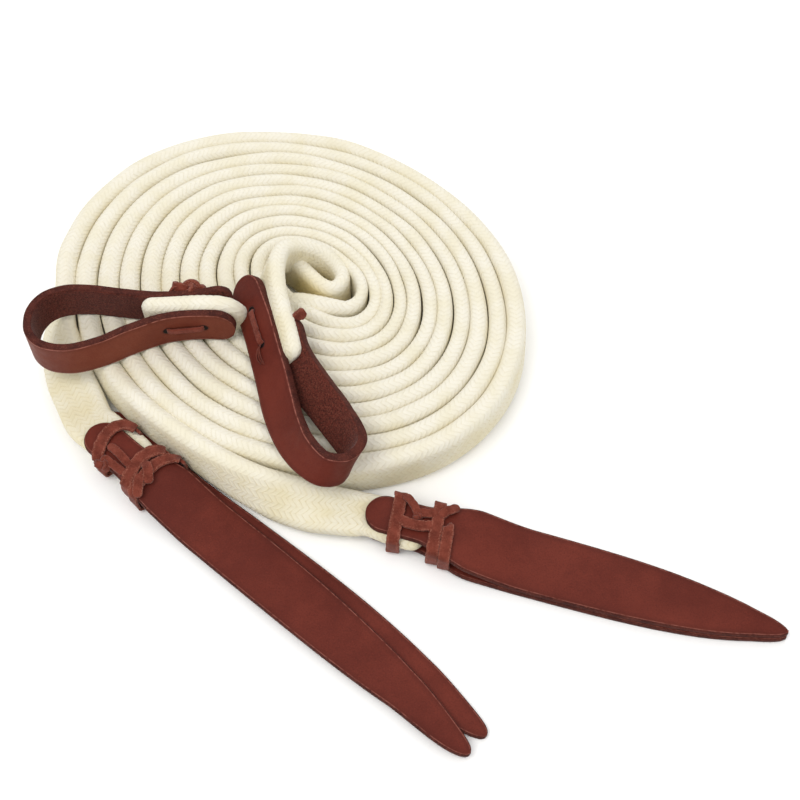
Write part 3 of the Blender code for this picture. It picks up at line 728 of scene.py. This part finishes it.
def wrap(popper, line, half_w, seed):
    """One turn of lace: over the leaf along (u, v) points, round both edges and back beneath."""
    top = ROOT_TOP_LEAF_Z + LEAF_THICK + GAP + LACE_THICK / 2
    low = LACE_LIFT + LACE_THICK / 2
    (u0, v0), (u1, v1) = line[0], line[-1]
    rows = [(u, v, top + 0.0005 - 0.0000022 * (v / 0.003) ** 4) for u, v in line[1:-1]]
    rows = [(u0, v0 - 0.0006, top - 0.0013), *rows, (u1, v1 + 0.0006, top - 0.0013)]
    rows += [(u1, v1 - 0.0002, 0.6 * top + 0.4 * low), (u1, v1 + 0.0003, 0.25 * top + 0.75 * low)]
    rows += [(u1 * 0.8 + u0 * 0.2, v1 * 0.85, low + 0.0004), (0.5 * (u0 + u1), 0.0, low)]
    rows += [(u1 * 0.2 + u0 * 0.8, v0 * 0.85, low + 0.0004)]
    rows += [(u0, v0 - 0.0003, 0.25 * top + 0.75 * low), (u0, v0 + 0.0002, 0.6 * top + 0.4 * low)]
    rows += [rows[0]]
    return lace_on(popper, rows, half_w, seed, 0.5 * (low + top))


def lace_on(popper, rows, half_w, seed, core_z, widths=None):
    """A lace along (u, v, z) points, its face turned away from the popper's middle."""
    fine = smooth(rows, step=0.0009)
    out = np.stack((np.zeros(len(fine)), fine[:, 1] - np.clip(fine[:, 1], -0.0095, 0.0095),
                    fine[:, 2] - core_z), -1)
    wide = np.cross(np.gradient(fine, axis=0), out)
    here = popper.point(fine[:, 0], fine[:, 1], fine[:, 2])
    there = popper.point(fine[:, 0] + wide[:, 0], fine[:, 1] + wide[:, 1], fine[:, 2] + wide[:, 2])
    size = 1.0 if widths is None else np.interp(np.linspace(0, 1, len(fine)), *widths)
    return sweep(here, there - here, half_w * size, 0.5 * LACE_THICK, 0.0004, seed, 0.07)


def popper_lace(popper, surface, seed):
    """The lace round a popper's root: three turns, crossings and a knot. Points are in mm."""
    top = ROOT_TOP_LEAF_Z + LEAF_THICK + GAP + LACE_THICK / 2
    core_z = 0.004
    tip = ((0.0, 0.04, 0.12, 0.85, 0.95, 1.0), (0.45, 0.8, 1.0, 1.0, 0.8, 0.45))
    mm = 0.001

    def flat(points, half_w, key):
        rows = [(u * mm, v * mm, top + h * mm) for u, v, h in points]
        return lace_on(popper, rows, half_w, seed + key, core_z, tip)

    def turn(points, half_w, key):
        return wrap(popper, [(u * mm, v * mm) for u, v in points], half_w, seed + key)

    if popper.side == "left":
        parts = [
            turn([(20.5, 14.0), (17.2, 12.2), (13.8, 9.8), (12.0, 5.5), (12.3, 0.0), (14.6, -5.5),
                  (17.6, -10.0), (20.6, -13.6)], 0.0034, 1),
            turn([(42.8, 14.9), (40.6, 12.4), (38.2, 8.4), (37.3, 3.0), (38.3, -3.0), (40.6, -9.0),
                  (42.6, -13.9)], 0.0036, 2),
            turn([(52.6, 16.6), (50.0, 14.4), (47.2, 10.4), (45.8, 5.0), (46.0, -1.0), (47.6, -8.0),
                  (49.6, -15.2)], 0.0032, 3),
            flat([(18.5, -3.4, 0.4), (24.0, -3.3, 1.1), (30.0, -3.8, 1.0), (37.0, -4.6, 0.4)], 0.0023, 4),
            flat([(23.0, -10.2, 0.2), (29.5, -9.9, 0.5), (38.5, -9.4, 0.2)], 0.0022, 5),
            flat([(41.0, 1.5, 1.2), (45.5, 0.2, 2.3), (49.5, -3.2, 1.6), (52.0, -5.4, 0.8)], 0.0026, 6),
            flat([(45.0, -5.0, 1.8), (49.0, -10.0, 1.6), (53.5, -14.6, 0.2)], 0.0027, 7),
            knot(popper.point(0.0240, -0.0122, top - 0.0010), 0.0036, 0.0020, 0.0011, seed + 8, turn=0.5),
        ]
    else:
        parts = [
            turn([(16.3, 14.0), (17.0, 11.5), (17.9, 5.0), (18.6, -1.0), (19.5, -8.0),
                  (20.4, -14.4)], 0.0034, 1),
            turn([(37.6, 14.6), (38.2, 11.0), (39.0, 5.0), (39.8, -2.0), (40.6, -9.0),
                  (41.4, -14.8)], 0.0032, 2),
            turn([(44.6, 2.2), (45.3, 1.0), (46.0, -2.0), (46.8, -8.0), (47.8, -15.8)], 0.0030, 3),
            flat([(18.6, 11.6, 0.4), (21.0, 10.6, 1.6), (24.2, 8.0, 2.4), (27.0, 5.2, 1.9),
                  (29.2, 2.8, 0.8)], 0.0021, 4),
            flat([(27.0, 4.0, 1.0), (32.0, 5.0, 1.0), (38.0, 6.8, 0.6)], 0.0024, 5),
            flat([(19.5, -1.6, 0.4), (25.0, -3.0, 0.9), (31.0, -2.8, 0.9), (39.0, -0.4, 0.4)], 0.0029, 6),
            flat([(39.5, 5.6, 0.8), (43.0, 9.4, 1.9), (47.4, 13.6, 0.5)], 0.0025, 7),
            knot(popper.point(0.0285, 0.0024, top + 0.0006), 0.0019, 0.0012, 0.0008, seed + 8, turn=1.2),
        ]
    made = build(f"{popper.side}_popper_wrap", parts, [surface] * 3)
    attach(made, f"{popper.side}_popper")
    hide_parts(f"{popper.side}_popper_lace")


def make_popper(shape, surfaces, lace, seed):
    """Both leaves and the lace of one popper."""
    side = shape.side
    carrier, upper = f"{side}_popper", f"{side}_top_leaf"
    low_shift, low_trim, top_shift, top_trim = ROOT_SHIFTS[side]
    bottom = leaf(shape, f"{side}_lower_leaf", surfaces, ROOT_BOTTOM_LEAF_Z, 0.0, shape.fan, seed,
                  low_shift, low_trim)
    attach(bottom, carrier)
    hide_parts(f"{side}_popper_bottom_leaf")
    top = leaf(shape, f"{side}_upper_leaf", surfaces, ROOT_TOP_LEAF_Z, LEAF_THICK + GAP, 0.0,
               seed + 2, top_shift, top_trim)
    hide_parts(f"{side}_popper_top_leaf_root", f"{side}_popper_top_leaf_blade")
    z = ROOT_TOP_LEAF_Z + LEAF_THICK
    shape.point(0.0545, 0.0, z)
    shape.point(0.0700, 0.0, z)
    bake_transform(top)
    popper_lace(shape, lace, seed + 4)


# ---------------------------------------------------------------- camera and light


def camera():
    data = bpy.data.cameras.new("camera")
    data.lens, data.sensor_width = LENS, SENSOR
    made = bpy.data.objects.new("camera", data)
    bpy.context.scene.collection.objects.link(made)
    behind, above = -math.cos(CAMERA_ELEVATION), math.sin(CAMERA_ELEVATION)
    made.location = at(0.0, 0.0) + CAMERA_DISTANCE * np.array((0, behind, above))
    made.rotation_euler = (math.pi / 2 - CAMERA_ELEVATION, 0, 0)
    bpy.context.scene.camera = made


def area_light(name, place, size, power, colour=(1, 1, 1)):
    """A round soft light, turned to the middle of the frame."""
    data = bpy.data.lights.new(name, "AREA")
    data.shape, data.size, data.energy, data.color = "DISK", size, power, colour
    made = bpy.data.objects.new(name, data)
    made.location = place
    made.rotation_euler = (-Vector(place)).to_track_quat("-Z", "Y").to_euler()
    bpy.context.scene.collection.objects.link(made)


def studio():
    """White surroundings, three soft lights and a pale floor."""
    world = bpy.data.worlds.new("studio")
    world.use_nodes = True
    back = world.node_tree.nodes["Background"]
    back.inputs["Color"].default_value = (1.0, 1.0, 1.0, 1.0)
    back.inputs["Strength"].default_value = 0.74
    bpy.context.scene.world = world
    area_light("key", (-0.55, -0.45, 1.35), 0.9, 9.5, (1.0, 0.985, 0.96))
    area_light("fill", (0.9, -0.6, 1.1), 1.0, 3.5)
    area_light("back", (0.2, 1.2, 0.9), 0.8, 4.0)
    bpy.context.scene.view_settings.view_transform = "Standard"
    data = bpy.data.meshes.new("floor")
    s = FLOOR_HALF
    data.from_pydata([(-s, -s, 0), (s, -s, 0), (s, s, 0), (-s, s, 0)], [], [(0, 1, 2, 3)])
    floor = bpy.data.objects.new("floor", data)
    floor.location.z = -FLOOR_DROP
    bpy.context.scene.collection.objects.link(floor)
    n = Nodes("studio_floor")
    soft = n.ramp(n.noise(n.place(), 3.0, 2.0), 0.2, 0.8)
    n.finish(n.mix(soft, (0.97, 0.97, 0.965), (0.985, 0.985, 0.98)), 0.9,
             n.bump(soft, 0.0001, 0.1), Specular_IOR_Level=0.1)
    data.materials.append(n.made)


# ---------------------------------------------------------------- assembly


# Rows of x, y, z, tilt, thickness and width. Each rein's head runs from its loop down into the
# coil, and its tail from the coil to its popper.
EDGE_Z = 0.5 * BRAID_WIDTH
LEFT_DIVE = [
    (-0.1405, 0.0312, 0.0388, 0.0, 0.0100, 0.0215), (-0.1200, 0.0312, 0.0393, 0.0, 0.0114, 0.0226),
    (-0.1040, 0.0312, 0.0395, 0.0, 0.0116, 0.0230), (-0.0970, 0.0316, 0.0372, 0.0, 0.0112, 0.0228),
    (-0.0918, 0.0336, 0.0250, 0.0, 0.0104, 0.0224), (-0.0868, 0.0366, 0.0158, 0.0, 0.0104, 0.0226),
    (-0.0790, 0.0410, 0.0132, 0.0, 0.0114, 0.0238), (-0.0690, 0.0466, 0.0137, 0.0, 0.0146, 0.0260),
    (-0.0600, 0.0506, 0.0140, 0.0, 0.0158, 0.0274), (-0.0500, 0.0503, 0.0138, 0.0, 0.0136, 0.0272),
]
RIGHT_DIVE = [
    (-0.0592, -0.0022, 0.0385, 0.72, 0.0080, 0.0200), (-0.0608, 0.0045, 0.0388, 0.73, 0.0088, 0.0204),
    (-0.0636, 0.0155, 0.0390, 0.76, 0.0090, 0.0206), (-0.0676, 0.0300, 0.0390, 0.72, 0.0092, 0.0208),
    (-0.0711, 0.0470, 0.0385, 0.60, 0.0094, 0.0214), (-0.0718, 0.0620, 0.0362, 0.42, 0.0100, 0.0228),
    (-0.0690, 0.0755, 0.0322, 0.25, 0.0098, 0.0240), (-0.0612, 0.0832, 0.0265, 0.10, 0.0095, 0.0255),
    (-0.0500, 0.0850, 0.0205, 0.0, 0.0092, 0.0265), (-0.0398, 0.0808, 0.0155, 0.0, 0.0090, 0.0270),
    (-0.0337, 0.0730, EDGE_Z, 0.0, 0.0088, 0.0270), (-0.0340, 0.0655, EDGE_Z, 0.0, 0.0088, 0.0270),
    (-0.0390, 0.0618, EDGE_Z, 0.0, 0.0090, 0.0268), (-0.0455, 0.0645, EDGE_Z, 0.0, 0.0092, 0.0268),
    (-0.0520, 0.0715, EDGE_Z, 0.0, 0.0092, 0.0265), (-0.0595, 0.0800, EDGE_Z, 0.0, 0.0092, 0.0260),
]
LEFT_TAIL = [
    (-0.1938, 0.0420, 0.0128, -0.70, 0.0090, 0.0272), (-0.1905, 0.0270, 0.0112, -1.00, 0.0086, 0.0272),
    (-0.1848, 0.0100, 0.0098, -1.22, 0.0082, 0.0272), (-0.1762, -0.0070, 0.0090, -1.42, 0.0080, 0.0270),
    (-0.1690, -0.0205, 0.0090, -1.571, 0.0074, 0.0264),
    (-0.1620, -0.0270, 0.0095, -1.571, 0.0070, 0.0262), (-0.1500, -0.0375, 0.0095, -1.571, 0.0072, 0.0268),
    (-0.1415, -0.0447, 0.0090, -1.571, 0.0064, 0.0250), (-0.1375, -0.0483, 0.0088, -1.571, 0.0060, 0.0190),
]
RIGHT_TAIL = [
    (-0.1735, 0.0300, 0.0137, -0.20, 0.0118, 0.0270), (-0.1614, 0.0084, 0.0137, -0.18, 0.0112, 0.0270),
    (-0.1446, -0.0128, 0.0137, -0.12, 0.0106, 0.0270), (-0.1226, -0.0318, 0.0137, -0.10, 0.0106, 0.0270),
    (-0.0970, -0.0508, 0.0137, -0.20, 0.0104, 0.0270), (-0.0730, -0.0650, 0.0131, -0.50, 0.0098, 0.0270),
    (-0.0510, -0.0725, 0.0108, -1.05, 0.0082, 0.0270), (-0.0370, -0.0750, 0.0093, -1.45, 0.0080, 0.0270),
    (-0.0240, -0.0770, 0.0089, -1.571, 0.0076, 0.0262), (-0.0150, -0.0782, 0.0089, -1.571, 0.0066, 0.0242),
    (-0.0010, -0.0830, 0.0093, -1.571, 0.0070, 0.0262), (0.0090, -0.0862, 0.0090, -1.571, 0.0066, 0.0252),
    (0.0145, -0.0878, 0.0088, -1.571, 0.0060, 0.0180),
]
# Side, head, the coil's first angle and turns inside, tail, seed, where the head is cut, and
# where its bend starts and ends.
REINS = (
    ("left", LEFT_DIVE, -65.0, 0.0, LEFT_TAIL, 11, (-0.0690, 0.0450),
     (at(-0.0970, 0.0303, 0.038), at(-0.0810, 0.0303, 0.038))),
    ("right", RIGHT_DIVE, 142.0, 0.5, RIGHT_TAIL, 47, (-0.0612, 0.0832),
     (at(-0.0722, 0.0640, 0.038), at(-0.0757, 0.0780, 0.038))),
)
# Along a popper: where the rein's end in it is cut, and where its bend starts and ends.
POPPER_CUT = -0.0200
POPPER_BEND = (-0.0198, -0.0015)
POPPER_BEND_Z = 0.0090
# The cuts are looked for within these lengths of a rein's two ends.
HEAD_REACH = 0.16
TAIL_REACH = 0.12


def reins(cotton):
    """Both reins, each in three pieces: in its loop, through the coil, and in its popper."""
    for side, dive, first, turns_in, tail, seed, cut_at, bend in REINS:
        rows = smooth(np.vstack((dive, coil_rows(first, turns_in, seed), tail)), step=RING_STEP)
        run = arc_length(rows[:, :3])
        shape = Popper(*(LEFT_POPPER if side == "left" else RIGHT_POPPER))
        u = (rows[:, :2] - shape.root) @ shape.along
        in_tail = run > run[-1] - TAIL_REACH
        tail_cut = int(np.argmax(in_tail & (u > POPPER_CUT)))
        head = np.linalg.norm(rows[:, :2] - np.array(cut_at), axis=1)
        head_cut = int(np.argmin(np.where(run < HEAD_REACH, head, np.inf)))
        main = rows[head_cut:tail_cut + 1]
        made, line = braid(f"{side}_rein", main, cotton, run[head_cut])
        in_loop, _ = braid(f"{side}_rein_in_loop", rows[:head_cut + 1], cotton, 0.0, (0.006, 0.0))
        in_popper, _ = braid(f"{side}_rein_in_popper", rows[tail_cut:], cotton, run[tail_cut],
                             (0.0, 0.004))
        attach(made, "reins")
        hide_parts("rein_coil", f"{side}_rein_tail")
        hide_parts(f"{side}_rein_loop_end")
        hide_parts(f"{side}_rein_popper_end")
        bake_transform(in_loop)
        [shape.point(u_end, 0.0, POPPER_BEND_Z) for u_end in POPPER_BEND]
        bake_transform(in_popper)


def thong(side, face, holes, extra, surface):
    """The lace that closes a loop: a strand between two slits, and what shows beyond the strap."""
    near, far = holes
    rows = [face(near - 0.0004, 0, -0.0030), face(near + 0.0004, 0, -0.0002)]
    rows += [face(near + 0.0022, 0, 0.0009), face(0.5 * (near + far), 0, 0.0013)]
    rows += [face(far - 0.0022, 0, 0.0009), face(far - 0.0004, 0, -0.0002), face(far + 0.0004, 0, -0.0030)]
    strand = ribbon([(*row, 1.0) for row in rows], 0.0016, 0.0007, 61)
    made = build(f"{side}_loop_thong", [strand, *extra], [surface] * 3)
    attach(made, f"{side}_loop")
    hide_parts(f"{side}_loop_lace")


def loops(surfaces_left, surfaces_right, lace):
    """The two bit loops, with their laces. Routes run along each strap's lower edge."""
    left_route = [(x, y, 0.0, 0.0) for x, y in (
        (-0.0895, 0.0228), (-0.1080, 0.0238), (-0.1270, 0.0215), (-0.1450, 0.0140),
        (-0.1600, 0.0058), (-0.1760, 0.0008), (-0.1900, 0.0030), (-0.1985, 0.0120),
        (-0.1998, 0.0250), (-0.1945, 0.0355), (-0.1840, 0.0405), (-0.1700, 0.0410),
        (-0.1500, 0.0382), (-0.1280, 0.0362), (-0.1080, 0.0385), (-0.0925, 0.0432),
    )]
    face = loop_strap("left", left_route, surfaces_left, 5, -1, LEFT_STRAP_THICK)
    tuck = [(*at(x, y, z), 0, 0, 1, s) for x, y, z, s in (
        (-0.1270, 0.0360, 0.0440, 1.0), (-0.1240, 0.0405, 0.0475, 1.2), (-0.1185, 0.0425, 0.0480, 1.3),
    )]
    extra = [
        knot(at(-0.1165, 0.0425, 0.0470), 0.0048, 0.0026, 0.0013, 62, (1.5, 0.8, 0.7), 0.3),
        knot(at(-0.1120, 0.0420, 0.0462), 0.0034, 0.0022, 0.0012, 63, (1.3, 0.9, 0.8), 1.4),
        ribbon(tuck, 0.0017, 0.0008, 64),
    ]
    thong("left", face, LEFT_HOLES, extra, lace)
    lean = math.sin(RIGHT_LOOP_LEAN)
    run = RIGHT_LOOP_ACROSS
    edge = (
        (-0.0948, 0.0530, 1.20), (-0.0904, 0.0398, 1.26), (-0.0846, 0.0220, 1.30),
        (-0.0797, 0.0045, 1.31), (-0.0748, -0.0140, 1.34), (-0.0703, -0.0320, 1.35),
        (-0.0645, -0.0465, 1.22), (-0.0555, -0.0595, 0.94), (-0.0430, -0.0690, 0.66),
        (-0.0322, -0.0682, 0.66), (-0.0285, -0.0575, 0.86), (-0.0398, -0.0402, 1.20),
        (-0.0533, -0.0205, 1.30), (-0.0638, -0.0020, 1.30), (-0.0680, 0.0125, 1.28),
        (-0.0712, 0.0235, 1.26),
    )
    route = [(x, y, s * lean * run[0], s * lean * run[1]) for x, y, s in edge]
    face = loop_strap("right", route, surfaces_right, 9, 1, RIGHT_STRAP_THICK)
    tip = [(*at(x, y, z), 0.3, 0.5, 0.8, s) for x, y, z, s in (
        (-0.0600, 0.0215, 0.0420, 1.0), (-0.0560, 0.0245, 0.0440, 1.6), (-0.0515, 0.0275, 0.0455, 1.8),
    )]
    extra = [ribbon(tip, 0.0018, 0.0010, 72)]
    # Loose threads hang from the lower slit.
    for key, spread in enumerate((-0.0050, -0.0034, -0.0022)):
        far = RIGHT_HOLES[1]
        hair = [face(far, 0, 0.0002), face(far + 0.0030, 0.7 * spread, 0.0010),
                face(far + 0.0070, spread, 0.0008), face(far + 0.0110 + 0.001 * key, spread * 0.8, 0.0002)]
        extra.append(ribbon([(*row, 1.0) for row in hair], 0.00022, 0.00012, 80 + key, rough=0.0))
    thong("right", face, RIGHT_HOLES, extra, lace)


def main():
    camera()
    studio()
    cotton = cotton_material()
    grain = leather_material("leather_grain")
    edge, flesh, lace = edge_material(), flesh_material(), lace_material()
    reins(cotton)
    half = STRAP_WIDTH / 2
    left_grain = leather_material("left_loop_grain", LEFT_HOLES, half, (0.130, 0.0260, 0.0130),
                                  (0.180, 0.0420, 0.0220))
    right_grain = leather_material("right_loop_grain", RIGHT_HOLES, half)
    loops([flesh, edge, left_grain], [right_grain, edge, flesh], lace)
    for shape, seed in ((LEFT_POPPER, 3), (RIGHT_POPPER, 8)):
        make_popper(Popper(*shape), [grain, edge, flesh], lace, seed)


main()
